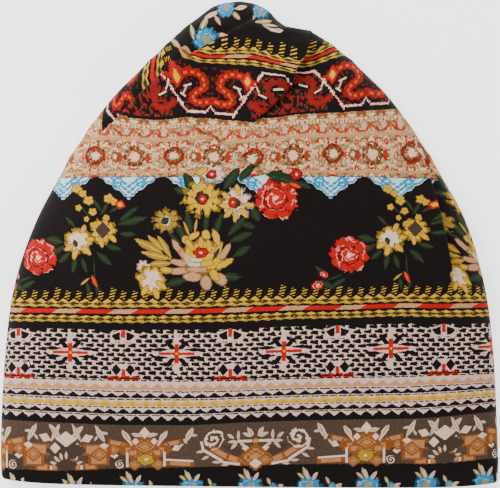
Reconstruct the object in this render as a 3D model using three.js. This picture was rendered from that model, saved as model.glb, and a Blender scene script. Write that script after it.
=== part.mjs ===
import * as THREE from 'three';
import { mergeVertices } from 'three/addons/utils/BufferGeometryUtils.js';

// A slouchy beanie of printed jersey, lying on its back.
// Millimetres: +X to the right, +Y from the open hem to the crown, +Z up from the table.

// Driving dimensions.
const HAT_WIDTH = 260;
const HAT_LENGTH = 253;
const WALL = 2.2;
const SIDE_RADIUS = 6.5;
const HEM_ROUNDING = 0.9;
const CORNER_LIFT = 2.4;
const HEM_SLANT = 0.0085;
const BACK_HEM_DROP = 0.8;
const TIP_HEIGHT = 7;

// How finely the cloth is divided around and how much of that is on the front.
const COLUMNS = 60;
const FRONT_SHARE = 0.7;

// Cloth shape of the lying tube: fullness of the front arch and of the roll onto the table.
const ARCH_FULLNESS = 0.86;
const ROLL_FULLNESS = 0.7;
const ROLL_SHARE = 0.34;

// Sections from the hem to the crown, as shares of the width and the length:
// y from the middle of the length, left and right edges, rise of the front, rows up to the next.
const halfWidth = HAT_WIDTH / 2;
const halfLength = HAT_LENGTH / 2;
const sections = [
  { y: -0.988, left: -0.990, right: 0.996, rise: 25, rows: 2 },
  { y: -0.890, left: -0.998, right: 1.000, rise: 28, rows: 3 },
  { y: -0.692, left: -0.993, right: 0.994, rise: 33, rows: 3 },
  { y: -0.429, left: -0.977, right: 0.980, rise: 38, rows: 4 },
  { y: -0.165, left: -0.941, right: 0.944, rise: 42, rows: 4 },
  { y: 0.099, left: -0.852, right: 0.868, rise: 43, rows: 4 },
  { y: 0.362, left: -0.719, right: 0.731, rise: 40, rows: 5 },
  { y: 0.627, left: -0.526, right: 0.542, rise: 35, rows: 4 },
  { y: 0.758, left: -0.402, right: 0.414, rise: 32, rows: 3 },
  { y: 0.824, left: -0.333, right: 0.333, rise: 30, rows: 2 },
  { y: 0.872, left: -0.281, right: 0.266, rise: 28.5, rows: 1 },
  { y: 0.888, left: -0.265, right: 0.162, rise: 27.5, rows: 2 },
  { y: 0.924, left: -0.217, right: 0.112, rise: 25, rows: 1 },
  { y: 0.956, left: -0.177, right: 0.085, rise: 21.5, rows: 1 },
  { y: 0.980, left: -0.130, right: 0.050, rise: 17, rows: 1 },
  { y: 0.994, left: -0.080, right: 0.012, rise: 12.5, rows: 1 },
];
const tip = { x: -0.036 * halfWidth, y: halfLength };

// Folds that overlap: a curve from start past a bend to its end, and the height of the step
// at both ends. The cloth on the high side of the curve lies on top.
const overlaps = [
  { name: 'slouch_pocket', x0: 32, y0: 110, xb: 30, yb: 98, x1: 22, y1: 89, high: -1, from: 9, to: 5, reach: 12 },
  { name: 'slouch_crease', x0: 23, y0: 84, xb: 14, yb: 74, x1: 4, y1: 64, high: -1, from: 4.5, to: 1, reach: 10 },
  { name: 'front_lobe_edge', x0: -2, y0: 114, xb: -22, yb: 100, x1: -41, y1: 90, high: 1, from: 2.5, to: 6, reach: 9 },
  { name: 'left_fold', x0: -41, y0: 90, xb: -56, yb: 79, x1: -70, y1: 62, high: 1, from: 6, to: 4, reach: 9 },
  { name: 'lower_left_tuck', x0: -70, y0: 62, xb: -88, yb: 55, x1: -84, y1: 38, high: 1, from: 3.5, to: 1, reach: 8 },
  { name: 'right_tuck', x0: 91, y0: 44, xb: 100, yb: 20, x1: 103, y1: -12, high: -1, from: 3, to: 4, reach: 11 },
];

// Wrinkles and soft swells without an overlap: valleys are negative, ridges positive.
const wrinkles = [
  { name: 'lace_wrinkle', x0: -25, y0: 58, xb: -6, yb: 46, x1: 14, y1: 34, height: -3.4, reach: 6 },
  { name: 'lace_ridge', x0: -22, y0: 66, xb: -2, yb: 56, x1: 22, y1: 40, height: 2.4, reach: 8 },
  { name: 'right_valley', x0: 60, y0: 84, xb: 74, yb: 64, x1: 86, y1: 48, height: -3, reach: 8 },
  { name: 'left_valley', x0: -112, y0: 6, xb: -98, yb: -18, x1: -94, y1: -48, height: -2.6, reach: 12 },
  { name: 'left_ridge', x0: -92, y0: 28, xb: -84, yb: 4, x1: -86, y1: -26, height: 2, reach: 12 },
  { name: 'hem_valley', x0: 34, y0: -124, xb: 40, yb: -112, x1: 44, y1: -90, height: -1.6, reach: 16 },
  { name: 'crown_valley', x0: -14, y0: 122, xb: -10, yb: 116, x1: 0, y1: 112, height: -2.2, reach: 5 },
];

const SAMPLES_ON_A_FOLD = 24;
const STEP_SOFTNESS = 3.2;

function drawnFold(row) {
  const start = new THREE.Vector2(row.x0, row.y0);
  const bend = new THREE.Vector2(row.xb, row.yb);
  const end = new THREE.Vector2(row.x1, row.y1);
  const curve = new THREE.QuadraticBezierCurve(start, bend, end);
  const points = curve.getPoints(SAMPLES_ON_A_FOLD);
  const tangents = points.map((point, index) => curve.getTangent(index / SAMPLES_ON_A_FOLD));
  return { ...row, points, tangents };
}

const drawnOverlaps = overlaps.map(drawnFold);
const drawnWrinkles = wrinkles.map(drawnFold);

// The place of a point beside a fold: distance, side (left of the curve is positive) and share.
function besideFold(fold, x, y) {
  const point = new THREE.Vector2(x, y);
  let nearest = 0;
  fold.points.forEach((sample, index) => {
    if (point.distanceTo(sample) < point.distanceTo(fold.points[nearest])) nearest = index;
  });
  const offset = point.clone().sub(fold.points[nearest]);
  const side = fold.tangents[nearest].cross(offset);
  return { distance: offset.length(), side, share: nearest / SAMPLES_ON_A_FOLD };
}

// Height that the folds and wrinkles add to the front of the cloth.
function foldHeight(x, y) {
  let height = 0;
  for (const fold of drawnOverlaps) {
    const place = besideFold(fold, x, y);
    const step = THREE.MathUtils.lerp(fold.from, fold.to, place.share);
    const softSide = Math.tanh((place.side * fold.high) / STEP_SOFTNESS);
    height += 0.5 * step * softSide * Math.exp(-((place.distance / fold.reach) ** 2));
  }
  for (const fold of drawnWrinkles) {
    const place = besideFold(fold, x, y);
    const taper = 0.35 + 0.65 * Math.sin(Math.PI * place.share);
    height += fold.height * taper * Math.exp(-((place.distance / fold.reach) ** 2));
  }
  return height;
}

// One smooth run of a section column, read by the section's number.
function columnCurve(read) {
  return new THREE.SplineCurve(sections.map((row, index) => new THREE.Vector2(index, read(row))));
}

const lastSection = sections.length - 1;
const curves = {
  y: columnCurve((row) => row.y * halfLength),
  left: columnCurve((row) => row.left * halfWidth),
  right: columnCurve((row) => row.right * halfWidth),
  rise: columnCurve((row) => row.rise),
};

function sectionAt(number) {
  const share = Math.min(number / lastSection, 1);
  const read = (key) => curves[key].getPoint(share).y;
  return { y: read('y'), left: read('left'), right: read('right'), rise: read('rise') };
}

// Rows of the cloth from the hem to the last section, by section number.
const rowNumbers = sections.flatMap((row, index) => {
  const count = index === lastSection ? 1 : row.rows;
  return Array.from({ length: count }, (unused, step) => index + step / count);
});

// The wall's profile runs from the outer tip to the hem, around it, and back to the inner tip.
// depth is 0 on the outside of the wall and 1 on its inside.
const TIP = null;
const outerRows = [...rowNumbers].reverse().map((number) => ({ number, depth: 0 }));
const innerRows = rowNumbers.map((number) => ({ number, depth: 1 }));
const profile = [
  { number: TIP, depth: 0 },
  ...outerRows,
  { number: 0, depth: 0.5 },
  ...innerRows,
  { number: TIP, depth: 1 },
];

// How far the hem reaches: slanted down to the right, lifted at the corners, longer at the back.
function hemReach(x, isBack) {
  const corner = CORNER_LIFT * Math.abs(x / halfWidth) ** 9;
  const backDrop = isBack && x < 0 ? BACK_HEM_DROP * (1 - (x / halfWidth) ** 2) : 0;
  return corner - HEM_SLANT * x - backDrop;
}

// Lays one point of the wall in its place on the table.
function layFlat(row, angle) {
  if (row.number === TIP) {
    return new THREE.Vector3(tip.x, tip.y - row.depth * WALL, TIP_HEIGHT);
  }
  const section = sectionAt(row.number);
  const inset = row.depth * WALL;
  const left = section.left + inset;
  const right = section.right - inset;
  const x = THREE.MathUtils.lerp(left, right, 0.5 + 0.5 * Math.cos(angle));
  const isBack = angle > Math.PI;
  const fullness = Math.abs(Math.sin(angle));
  const sideHeight = Math.min(SIDE_RADIUS, section.rise / 2);

  const hemShare = Math.max(0, 1 - row.number / 2) ** 2;
  const crownShare = (row.number / lastSection) ** 8;
  const rounding = row.depth === 0.5 ? HEM_ROUNDING : 0;
  const y = section.y + hemShare * hemReach(x, isBack) - rounding - inset * crownShare;

  if (isBack) {
    const roll = Math.min(1, fullness / ROLL_SHARE) ** ROLL_FULLNESS;
    return new THREE.Vector3(x, y, inset + (sideHeight - inset) * (1 - roll));
  }
  const arch = (section.rise - inset - sideHeight) * fullness ** ARCH_FULLNESS;
  const folded = foldHeight(x, y) * Math.sqrt(fullness);
  return new THREE.Vector3(x, y, sideHeight + arch + folded);
}

// The turn around the tube as an angle: 0 to pi over the front, pi to 2 pi over the back.
function aroundTube(share) {
  if (share <= FRONT_SHARE) return (Math.PI * share) / FRONT_SHARE;
  return Math.PI + (Math.PI * (share - FRONT_SHARE)) / (1 - FRONT_SHARE);
}

// The hat is turned as a round cap with a wall, and each point of it is then laid flat.
function beanieShell() {
  const outline = profile.map((row) => {
    if (row.number === TIP) return new THREE.Vector2(0, tip.y - row.depth * WALL);
    const section = sectionAt(row.number);
    const radius = (section.right - section.left) / Math.PI - row.depth * WALL;
    return new THREE.Vector2(radius, section.y);
  });
  const turned = new THREE.LatheGeometry(outline, COLUMNS);
  const { position, uv } = turned.attributes;
  for (let index = 0; index < position.count; index += 1) {
    const row = profile[Math.round(uv.getY(index) * (profile.length - 1))];
    const place = layFlat(row, aroundTube(uv.getX(index)));
    position.setXYZ(index, place.x, place.y, place.z);
  }
  turned.deleteAttribute('normal');
  turned.deleteAttribute('uv');
  const shell = mergeVertices(turned);

  // The origin is under the middle of the hat, on the table.
  shell.computeBoundingBox();
  const middle = shell.boundingBox.getCenter(new THREE.Vector3());
  shell.translate(-middle.x, -middle.y, -shell.boundingBox.min.z);
  shell.computeVertexNormals();
  return shell;
}

const jersey = new THREE.MeshStandardMaterial({ color: 0x3a2f2c, roughness: 0.92, metalness: 0 });

const beanie = new THREE.Group();
const shellMesh = new THREE.Mesh(beanieShell(), jersey);
shellMesh.name = 'beanie_shell';
beanie.add(shellMesh);

export default beanie;
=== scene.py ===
# %% [markdown]
# A slouchy beanie of printed jersey, laid on its back on a pale table and seen from above.
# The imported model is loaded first. It gives the hat's true size and place, and everything
# below is fitted into that box, so that the cloth seen here and the solid are one thing.

# %% The frame
import math
import bmesh
import bpy
import numpy as np
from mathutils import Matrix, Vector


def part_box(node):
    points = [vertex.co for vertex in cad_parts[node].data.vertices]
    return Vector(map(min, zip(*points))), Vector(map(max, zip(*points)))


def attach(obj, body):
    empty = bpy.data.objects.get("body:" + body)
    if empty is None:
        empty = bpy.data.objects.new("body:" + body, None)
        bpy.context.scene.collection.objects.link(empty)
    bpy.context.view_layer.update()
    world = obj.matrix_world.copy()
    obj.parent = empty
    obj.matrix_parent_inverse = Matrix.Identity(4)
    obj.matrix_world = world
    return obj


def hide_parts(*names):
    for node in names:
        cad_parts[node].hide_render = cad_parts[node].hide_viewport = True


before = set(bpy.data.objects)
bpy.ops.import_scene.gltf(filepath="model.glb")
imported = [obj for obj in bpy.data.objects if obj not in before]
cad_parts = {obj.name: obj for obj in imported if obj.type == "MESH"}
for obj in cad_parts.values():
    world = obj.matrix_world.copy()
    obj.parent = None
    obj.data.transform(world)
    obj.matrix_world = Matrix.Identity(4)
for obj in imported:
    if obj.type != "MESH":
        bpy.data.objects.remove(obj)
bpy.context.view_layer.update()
low, high = (np.array(corner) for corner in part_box("beanie_shell"))
width, length, height = high - low
print("hat", [round(float(side) * 1000, 1) for side in (width, length, height)], "mm")

# %% [markdown]
# The hat was charted on the photograph: 498 pixels of it are the hat's width. One chart
# unit is that pixel, so a place on the chart becomes metres of cloth through one number.
# The middle of the chart is the middle of the hat, which is also the frame's origin.

# %% The chart
CHART_WIDTH, CHART_LENGTH = 498.0, 485.6
CHART_MIDDLE = (249.0, 243.8)
UNIT = width / CHART_WIDTH


def cloth_x(chart_x):
    return (chart_x - CHART_MIDDLE[0]) * UNIT


def cloth_y(chart_y):
    return (CHART_MIDDLE[1] - chart_y) * length / CHART_LENGTH


print("one chart unit is", round(UNIT * 1000, 3), "mm of cloth")

# %% [markdown]
# A lying hat is a tube pressed flat. Its form is drawn by cross-sections, from the hem up
# to the crown: where the left and right edges are, and how high the front rises. Between
# two rows of this table a smooth curve is followed, as a ship's hull follows its ribs.

# %% The sections
SECTIONS = [
    dict(y=482.0, left=1.8, right=497.5, rise=0.0250),
    dict(y=459.0, left=0.8, right=498.2, rise=0.0280),
    dict(y=412.0, left=1.8, right=496.4, rise=0.0330),
    dict(y=348.0, left=5.8, right=493.0, rise=0.0380),
    dict(y=284.0, left=14.8, right=484.2, rise=0.0418),
    dict(y=220.0, left=36.8, right=465.2, rise=0.0428),
    dict(y=156.0, left=69.8, right=431.2, rise=0.0400),
    dict(y=124.0, left=91.8, right=409.2, rise=0.0376),
    dict(y=92.0, left=117.8, right=384.2, rise=0.0350),
    dict(y=60.0, left=148.8, right=352.2, rise=0.0320),
    dict(y=44.0, left=165.8, right=332.4, rise=0.0302),
    dict(y=34.0, left=177.0, right=316.5, rise=0.0288),
    dict(y=29.8, left=182.0, right=307.5, rise=0.0280),
    dict(y=27.6, left=184.6, right=288.5, rise=0.0275),
    dict(y=20.0, left=194.8, right=277.2, rise=0.0250),
    dict(y=12.0, left=204.8, right=270.2, rise=0.0218),
    dict(y=6.4, left=213.0, right=262.0, rise=0.0180),
    dict(y=2.6, left=224.0, right=252.0, rise=0.0136),
    dict(y=1.2, left=233.0, right=246.0, rise=0.0108),
]
TIP = dict(x=240.0, y=0.9, height=0.0072)
WALL = 0.0022
SIDE_RADIUS = 0.0065


def smooth_run(values, places):
    """A smooth curve through a table's column, read at places counted in rows."""
    values = np.asarray(values, float)
    row = np.clip(np.floor(places).astype(int), 0, len(values) - 2)
    share = places - row
    before = values[np.maximum(row - 1, 0)]
    here, after = values[row], values[row + 1]
    beyond = values[np.minimum(row + 2, len(values) - 1)]
    bend = 2 * before - 5 * here + 4 * after - beyond
    swing = 3 * here - before - 3 * after + beyond
    return here + 0.5 * share * (after - before + share * (bend + share * swing))


section_heights = np.array([cloth_y(row["y"]) for row in SECTIONS])
print("sections", len(SECTIONS), "from", np.round(section_heights[[0, -1]] * 1000, 1), "mm")

# %% [markdown]
# The mesh begins as one flat grid, like cloth on a table. Its columns will run around the
# hat, more of them over the front than at the back. Its rows run from the crown down the
# outside to the hem, round the hem, and up again on the inside: the cloth is doubled, and
# the lining is the same cloth turned in. One grid gives one closed wall without a seam.

# %% The flat grid
FRONT_COLUMNS, BACK_COLUMNS = 236, 48
OUTER_ROWS, HEM_ROWS, INNER_ROWS = 246, 6, 44
COLUMNS = FRONT_COLUMNS + BACK_COLUMNS
ROWS = OUTER_ROWS + HEM_ROWS + INNER_ROWS

bm = bmesh.new()
bmesh.ops.create_grid(bm, x_segments=COLUMNS, y_segments=ROWS, size=0.5)
cloth_mesh = bpy.data.meshes.new("jersey_cloth")
bm.to_mesh(cloth_mesh)
bm.free()

grid = np.empty(len(cloth_mesh.vertices) * 3, np.float32)
cloth_mesh.vertices.foreach_get("co", grid)
grid = grid.reshape(-1, 3)
column = np.rint((grid[:, 0] + 0.5) * COLUMNS)
row = np.rint((grid[:, 1] + 0.5) * ROWS)
print("grid", COLUMNS, "by", ROWS, "is", len(cloth_mesh.polygons), "faces")

# %% [markdown]
# Each grid point gets its angle around the tube and its depth in the wall. The angle runs
# from the right side fold over the front to the left one, and back underneath. Columns
# stand closer together at the side folds, where the cloth turns over in a small radius.

# %% Around the tube and through the wall
EDGE_CROWDING = 0.2

front_share = np.minimum(column / FRONT_COLUMNS, 1.0)
back_share = np.maximum(column - FRONT_COLUMNS, 0.0) / BACK_COLUMNS
front_angle = math.pi * front_share + EDGE_CROWDING * np.sin(2 * math.pi * front_share)
angle = front_angle + math.pi * back_share
is_back = column > FRONT_COLUMNS
across = np.cos(angle)
fullness = np.abs(np.sin(angle))

from_crown = np.clip(row / OUTER_ROWS, 0.0, 1.0)
hem_turn = np.clip((row - OUTER_ROWS) / HEM_ROWS, 0.0, 1.0)
up_inside = np.clip((row - OUTER_ROWS - HEM_ROWS) / INNER_ROWS, 0.0, 1.0)
is_inner = row > OUTER_ROWS + HEM_ROWS - 1
depth = np.where(is_inner, 1.0, hem_turn)

crown_share = np.where(row > OUTER_ROWS, up_inside, 1.0 - from_crown)
section_y = section_heights[0] + crown_share * (section_heights[-1] - section_heights[0])
section_number = np.interp(section_y, section_heights, np.arange(len(SECTIONS)))
print("points on the front", int((~is_back & ~is_inner).sum()))

# %% [markdown]
# Now the flat grid is bent into the lying tube. The front arches up, the back lies flat
# on the table, and both meet in the soft rolls at the sides. The inside follows the
# outside at the wall's thickness. At the crown all columns close in one point.

# %% The lying tube
ARCH_FULLNESS = 0.86
ROLL_FULLNESS = 0.7
ROLL_SHARE = 0.34
CORNER_LIFT, HEM_SLANT, BACK_HEM_DROP = 0.0024, 0.0085, 0.0009
HEM_BULGE = 0.0012
HEM_REACH, CORNER_SHARPNESS, TIP_SHARPNESS = 0.022, 9, 16


def section_column(name, convert):
    return smooth_run([convert(row[name]) for row in SECTIONS], section_number)


inset = depth * WALL
left_edge = section_column("left", cloth_x) + inset
right_edge = section_column("right", cloth_x) - inset
rise = section_column("rise", float)
x = left_edge + (0.5 + 0.5 * across) * (right_edge - left_edge)

side_height = np.minimum(SIDE_RADIUS, rise / 2)
arch = (rise - inset - side_height) * fullness ** ARCH_FULLNESS
roll = np.minimum(1.0, fullness / ROLL_SHARE) ** ROLL_FULLNESS
front_z = side_height + arch
back_z = inset + (side_height - inset) * (1.0 - roll)
z = np.where(is_back, back_z, front_z)

near_hem = np.maximum(0.0, 1.0 - (section_y - section_heights[0]) / HEM_REACH) ** 2
hem_reach = CORNER_LIFT * np.abs(x / (width / 2)) ** CORNER_SHARPNESS - HEM_SLANT * x
hem_reach -= np.where(is_back & (x < 0), BACK_HEM_DROP * (1 - (x / (width / 2)) ** 2), 0.0)
hem_bulge = HEM_BULGE * np.sin(math.pi * hem_turn)
y = section_y + near_hem * hem_reach - hem_bulge - inset * crown_share ** TIP_SHARPNESS
print("arch rises to", round(float(z.max()) * 1000, 1), "mm")

# %% [markdown]
# The slouch is what makes this hat: loose cloth that folds over itself. Each fold and each
# wrinkle is a curve drawn on the chart: two ends, a point between them that bends it, its
# height at the start and at the end, and how far its slope reaches into the cloth beside it.

# %% The folds and wrinkles
OVERLAPS = [
    dict(name="slouch_pocket", x0=313, y0=22, xb=306, yb=58, x1=291, y1=74,
         over=-1, start=0.0095, end=0.0045, reach=0.013, tuck=0.0046),
    dict(name="slouch_crease", x0=294, y0=80, xb=276, yb=104, x1=256, y1=123,
         over=-1, start=0.0040, end=0.0014, reach=0.010, tuck=0.0034),
    dict(name="front_lobe_edge", x0=257, y0=19, xb=214, yb=44, x1=174, y1=69,
         over=1, start=0.0012, end=0.0058, reach=0.010, tuck=0.0036),
    dict(name="lace_crease", x0=199, y0=129, xb=236, yb=151, x1=275, y1=181,
         over=1, start=0.0024, end=0.0032, reach=0.008, tuck=0.0026),
    dict(name="left_fold", x0=172, y0=71, xb=146, yb=90, x1=113, y1=126,
         over=1, start=0.0058, end=0.0040, reach=0.010, tuck=0.0036),
    dict(name="lower_left_tuck", x0=112, y0=128, xb=78, yb=140, x1=90, y1=176,
         over=1, start=0.0034, end=0.0010, reach=0.008, tuck=0.0020),
    dict(name="right_tuck", x0=421, y0=158, xb=438, yb=205, x1=448, y1=268,
         over=-1, start=0.0030, end=0.0036, reach=0.011, tuck=0.0034),
]
WRINKLES = [
    dict(name="lace_ridge", x0=206, y0=118, xb=246, yb=140, x1=288, y1=170, height=0.0022, reach=0.008),
    dict(name="right_valley", x0=362, y0=84, xb=390, yb=122, x1=412, y1=156, height=-0.0024, reach=0.008),
    dict(name="left_valley", x0=36, y0=232, xb=62, yb=280, x1=70, y1=336, height=-0.0022, reach=0.012),
    dict(name="left_ridge", x0=72, y0=190, xb=88, yb=236, x1=84, y1=294, height=0.0018, reach=0.012),
    dict(name="hem_valley", x0=314, y0=481, xb=326, yb=458, x1=334, y1=416, height=-0.0014, reach=0.016),
    dict(name="hem_left_valley", x0=130, y0=483, xb=140, yb=460, x1=128, y1=420, height=-0.0012, reach=0.018),
    dict(name="crown_valley", x0=222, y0=10, xb=230, yb=22, x1=249, y1=29, height=-0.0020, reach=0.0045),
    dict(name="lobe_valley", x0=176, y0=40, xb=166, yb=56, x1=152, y1=80, height=-0.0024, reach=0.005),
    dict(name="flap_valley", x0=322, y0=46, xb=318, yb=62, x1=330, y1=86, height=-0.0020, reach=0.007),
    dict(name="brow_ridge", x0=250, y0=66, xb=262, yb=84, x1=250, y1=116, height=0.0014, reach=0.010),
    dict(name="cheek_valley", x0=296, y0=186, xb=330, yb=230, x1=388, y1=262, height=-0.0016, reach=0.016),
]
print("folds", len(OVERLAPS), "and wrinkles", len(WRINKLES))

# %% [markdown]
# Beside a fold the cloth on one side rides up over the other. So the mesh is pushed sideways
# as well as up: the upper layer reaches over the edge, the lower one slips back beneath it,
# and a real dark gap is left between them. For that, every point of the cloth asks for its
# distance from the curve and for the side of it on which it lies.

# %% The cloth beside the folds
FOLD_SAMPLES = 40
LIP = 0.0019
LIP_ROUNDING = 0.8
FAR_AWAY = 9.0


def beside(fold, x, y):
    """Distance to a fold's curve, the signed side of it, its share and its normal."""
    share = np.linspace(0.0, 1.0, FOLD_SAMPLES)[:, None]
    ends = [np.array([cloth_x(fold["x" + key]), cloth_y(fold["y" + key])]) for key in "0b1"]
    curve = (1 - share) ** 2 * ends[0] + 2 * share * (1 - share) * ends[1] + share ** 2 * ends[2]
    legs = np.diff(curve, axis=0)
    lengths = np.linalg.norm(legs, axis=1)
    best = dict(distance=np.full(len(x), FAR_AWAY), side=np.zeros(len(x)), share=np.zeros(len(x)),
                nx=np.zeros(len(x)), ny=np.zeros(len(x)))
    for number, (start, leg, size) in enumerate(zip(curve, legs, lengths)):
        dx, dy = x - start[0], y - start[1]
        along = np.clip((dx * leg[0] + dy * leg[1]) / size ** 2, 0.0, 1.0)
        distance = np.hypot(dx - along * leg[0], dy - along * leg[1])
        closer = distance < best["distance"]
        best["distance"][closer] = distance[closer]
        best["side"][closer] = ((leg[0] * dy - leg[1] * dx) / size)[closer]
        best["share"][closer] = ((number + along) / (FOLD_SAMPLES - 1))[closer]
        best["nx"][closer] = -leg[1] / size
        best["ny"][closer] = leg[0] / size
    return best


lift = np.zeros(len(x))
slide_x = np.zeros(len(x))
slide_y = np.zeros(len(x))
outside = ~is_inner
for fold in OVERLAPS:
    place = beside(fold, x, y)
    step = fold["start"] + (fold["end"] - fold["start"]) * place["share"]
    fade = np.exp(-(place["distance"] / fold["reach"]) ** 2)
    upward = fold["over"] * place["side"]
    lift += 0.5 * step * fade * np.where(outside, np.tanh(upward / (LIP_ROUNDING * LIP)), -1.0)
    pull = upward / LIP * np.exp(0.5 * (1.0 - (upward / LIP) ** 2))
    pull *= np.exp(-(np.maximum(place["distance"] - np.abs(upward), 0.0) / LIP) ** 2)
    pull *= fold["tuck"] * step / max(fold["start"], fold["end"]) * outside
    slide_x -= fold["over"] * place["nx"] * pull
    slide_y -= fold["over"] * place["ny"] * pull
for wrinkle in WRINKLES:
    place = beside(wrinkle, x, y)
    taper = 0.25 + 0.75 * np.sin(math.pi * place["share"])
    lift += wrinkle["height"] * taper * np.exp(-(place["distance"] / wrinkle["reach"]) ** 2)
on_front = np.where(is_back, 0.0, np.sqrt(fullness))
print("folds lift the cloth by", round(float(lift.max()) * 1000, 1), "mm at most")

# %% [markdown]
# The print is laid on the cloth through a map of its own, in chart units. Down the cloth it
# follows the printed bands, whose heights were read at eleven stations across the hat: they
# sag in the middle and climb to the right, as the cloth pulls them. Past the hem the map
# turns back, because the print goes on round the fold and up the inside.

# %% Where the printed bands run
STATIONS = [0, 60, 120, 160, 190, 250, 293, 345, 400, 430, 500]
BAND_HEIGHTS = [
    dict(band=-60, at=[-62, -62, -62, -62, -62, -62, -62, -62, -62, -62, -62]),
    dict(band=22, at=[20, 20, 20, 20, 20, 20, 24, 12, -6, -14, -24]),
    dict(band=50, at=[56, 56, 56, 55.4, 55, 50, 60, 35, 18, 8, 0]),
    dict(band=75, at=[62, 62, 62, 63.7, 65, 69, 73, 57, 50, 45, 40]),
    dict(band=118, at=[121, 121, 119.5, 122.6, 120, 124.3, 117.6, 114.6, 110, 108, 108]),
    dict(band=180, at=[180, 180, 180, 180, 180, 180, 180, 180, 181, 182, 184]),
    dict(band=298, at=[297.5, 298.5, 298.5, 298.2, 298, 296, 295, 295, 293, 293.5, 293]),
    dict(band=323, at=[322, 321.5, 322.5, 322.2, 322, 320.5, 318.5, 317.5, 316, 317, 317]),
    dict(band=379, at=[377, 377.5, 378.5, 378.8, 379, 378, 376.5, 375.5, 375, 374, 373]),
    dict(band=420, at=[417, 419, 421, 421, 421, 418, 416.5, 415.5, 415, 414, 409]),
    dict(band=465, at=[467, 468, 465.5, 464.6, 464, 462, 461, 461, 460.5, 461, 456.5]),
    dict(band=487, at=[494, 493.5, 490.5, 489, 487, 486.5, 486.5, 486, 485.5, 485, 485]),
]
HEM_BAND = BAND_HEIGHTS[-1]["band"]
HEM_SURPLUS = 3.0

chart_x = x / UNIT + CHART_MIDDLE[0]
chart_y = CHART_MIDDLE[1] - y * CHART_LENGTH / length
station = np.interp(np.clip(chart_x, 0, 500), STATIONS, np.arange(len(STATIONS)))
band_y = np.array([smooth_run(row["at"], station) for row in BAND_HEIGHTS])
bands = np.array([row["band"] for row in BAND_HEIGHTS], float)
down = np.full(len(x), bands[-1])
for number in range(len(bands) - 1):
    share = (chart_y - band_y[number]) / (band_y[number + 1] - band_y[number])
    inside = share >= 0 if number else np.ones(len(x), bool)
    down[inside] = (bands[number] + share * (bands[number + 1] - bands[number]))[inside]
at_hem = row == OUTER_ROWS
hem_down = np.zeros(COLUMNS + 1)
hem_down[column[at_hem].astype(int)] = down[at_hem]
turned_in = 2 * hem_down[column.astype(int)] - down + HEM_SURPLUS * hem_turn
down = np.where(row > OUTER_ROWS, turned_in, down)
print("the print runs from", round(float(down.min())), "to", round(float(down.max())), "units down")

# %% [markdown]
# Along the cloth the map runs with the chart. Where the cloth turns down at the side folds,
# more of it lies in each unit that is seen, so there the map takes up the surplus. Under the
# hat it runs back towards the middle, where the two sides meet in the seam.

# %% The print along the cloth
SIDE_SURPLUS, SURPLUS_SHARE, SURPLUS_POWER = 12.6, 0.25, 1.5
ROLL_SURPLUS = 17.0

surplus = SIDE_SURPLUS * np.maximum(0.0, 1.0 - fullness / SURPLUS_SHARE) ** SURPLUS_POWER
turned_back = ROLL_SURPLUS * np.minimum(1.0, fullness / ROLL_SHARE)
front_along = chart_x + np.sign(chart_x - CHART_MIDDLE[0]) * surplus
edge_left, edge_right = (edge / UNIT + CHART_MIDDLE[0] for edge in (left_edge, right_edge))
left_back = edge_left - SIDE_SURPLUS - turned_back - (chart_x - edge_left)
right_back = edge_right + SIDE_SURPLUS + turned_back + (edge_right - chart_x)
along = np.where(is_back, left_back, front_along)
along_right = np.where(is_back, right_back, front_along)
print("the print is", round(float(front_along.max() - front_along.min())), "units wide in front")

# %% [markdown]
# Two patches of cloth show another part of the print, because a fold swallowed what lies
# between. Upper left, the loose crown is turned, so the bands there run nearly upright.
# Right of the tuck the print jumps ahead by the width that the tuck hides.

# %% The print beyond the folds
TURNED = dict(along=2300.0, up=-1.1, band=45.0, x=168.0, y=60.0, across=1.25, slope=0.15)
TURNED_FOLDS = ("front_lobe_edge", "left_fold", "lower_left_tuck")
TURNED_FOOT, LOBE_EDGE, LOBE_FOOT = 138, 252.0, 24
TUCK_GAIN, TUCK_TOP, TUCK_FOOT = 0.45, 120, 300.0
TUCK_LINE = dict(y=[150, 168, 185, 210, 235, 260, 300], x=[415, 427, 432, 437, 442, 446, 455])
TUCK_WIDTH = dict(y=[240, 300], width=[1.0, 36.0])


def turned_place(seen_x, seen_y):
    """A place seen on the turned patch, given in that patch's own map."""
    place_along = TURNED["along"] + TURNED["up"] * seen_y
    place_down = TURNED["band"] + TURNED["across"] * (TURNED["x"] - seen_x)
    return place_along, place_down + TURNED["slope"] * (TURNED["y"] - seen_y)


turned_folds = [beside(fold, x, y) for fold in OVERLAPS if fold["name"] in TURNED_FOLDS]
distances = np.array([place["distance"] for place in turned_folds])
sides = np.array([place["side"] for place in turned_folds])
nearest_side = np.take_along_axis(sides, distances.argmin(axis=0)[None, :], axis=0)[0]
is_turned = (nearest_side < 0) & (chart_y < TURNED_FOOT) & outside & ~is_back
is_turned &= (chart_x < LOBE_EDGE) | (chart_y > LOBE_FOOT)
turned_along, turned_down = turned_place(chart_x, chart_y)

tuck_x = np.interp(chart_y, TUCK_LINE["y"], TUCK_LINE["x"])
tuck_width = np.interp(chart_y, TUCK_WIDTH["y"], TUCK_WIDTH["width"])
past_tuck = np.clip((chart_x - tuck_x) / tuck_width, 0.0, 1.0)
tuck_jump = TUCK_GAIN * np.maximum(0.0, TUCK_FOOT - chart_y) * past_tuck
tuck_jump = np.where(outside & ~is_back & (chart_y > TUCK_TOP), tuck_jump, 0.0)
along = np.where(is_turned, turned_along, along + tuck_jump)
along_right = np.where(is_turned, turned_along, along_right + tuck_jump)
down = np.where(is_turned, turned_down, down)
print("turned patch", int(is_turned.sum()), "points; tuck hides", round(float(tuck_jump.max())), "units")

# %% [markdown]
# With every point's place known, the flat grid takes its form. The print map is written
# to the faces' corners first, while the two edges of the grid are still apart: so the map
# can stop at the sewn seam down the back. Then the edges are merged, and the wall closes.

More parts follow.
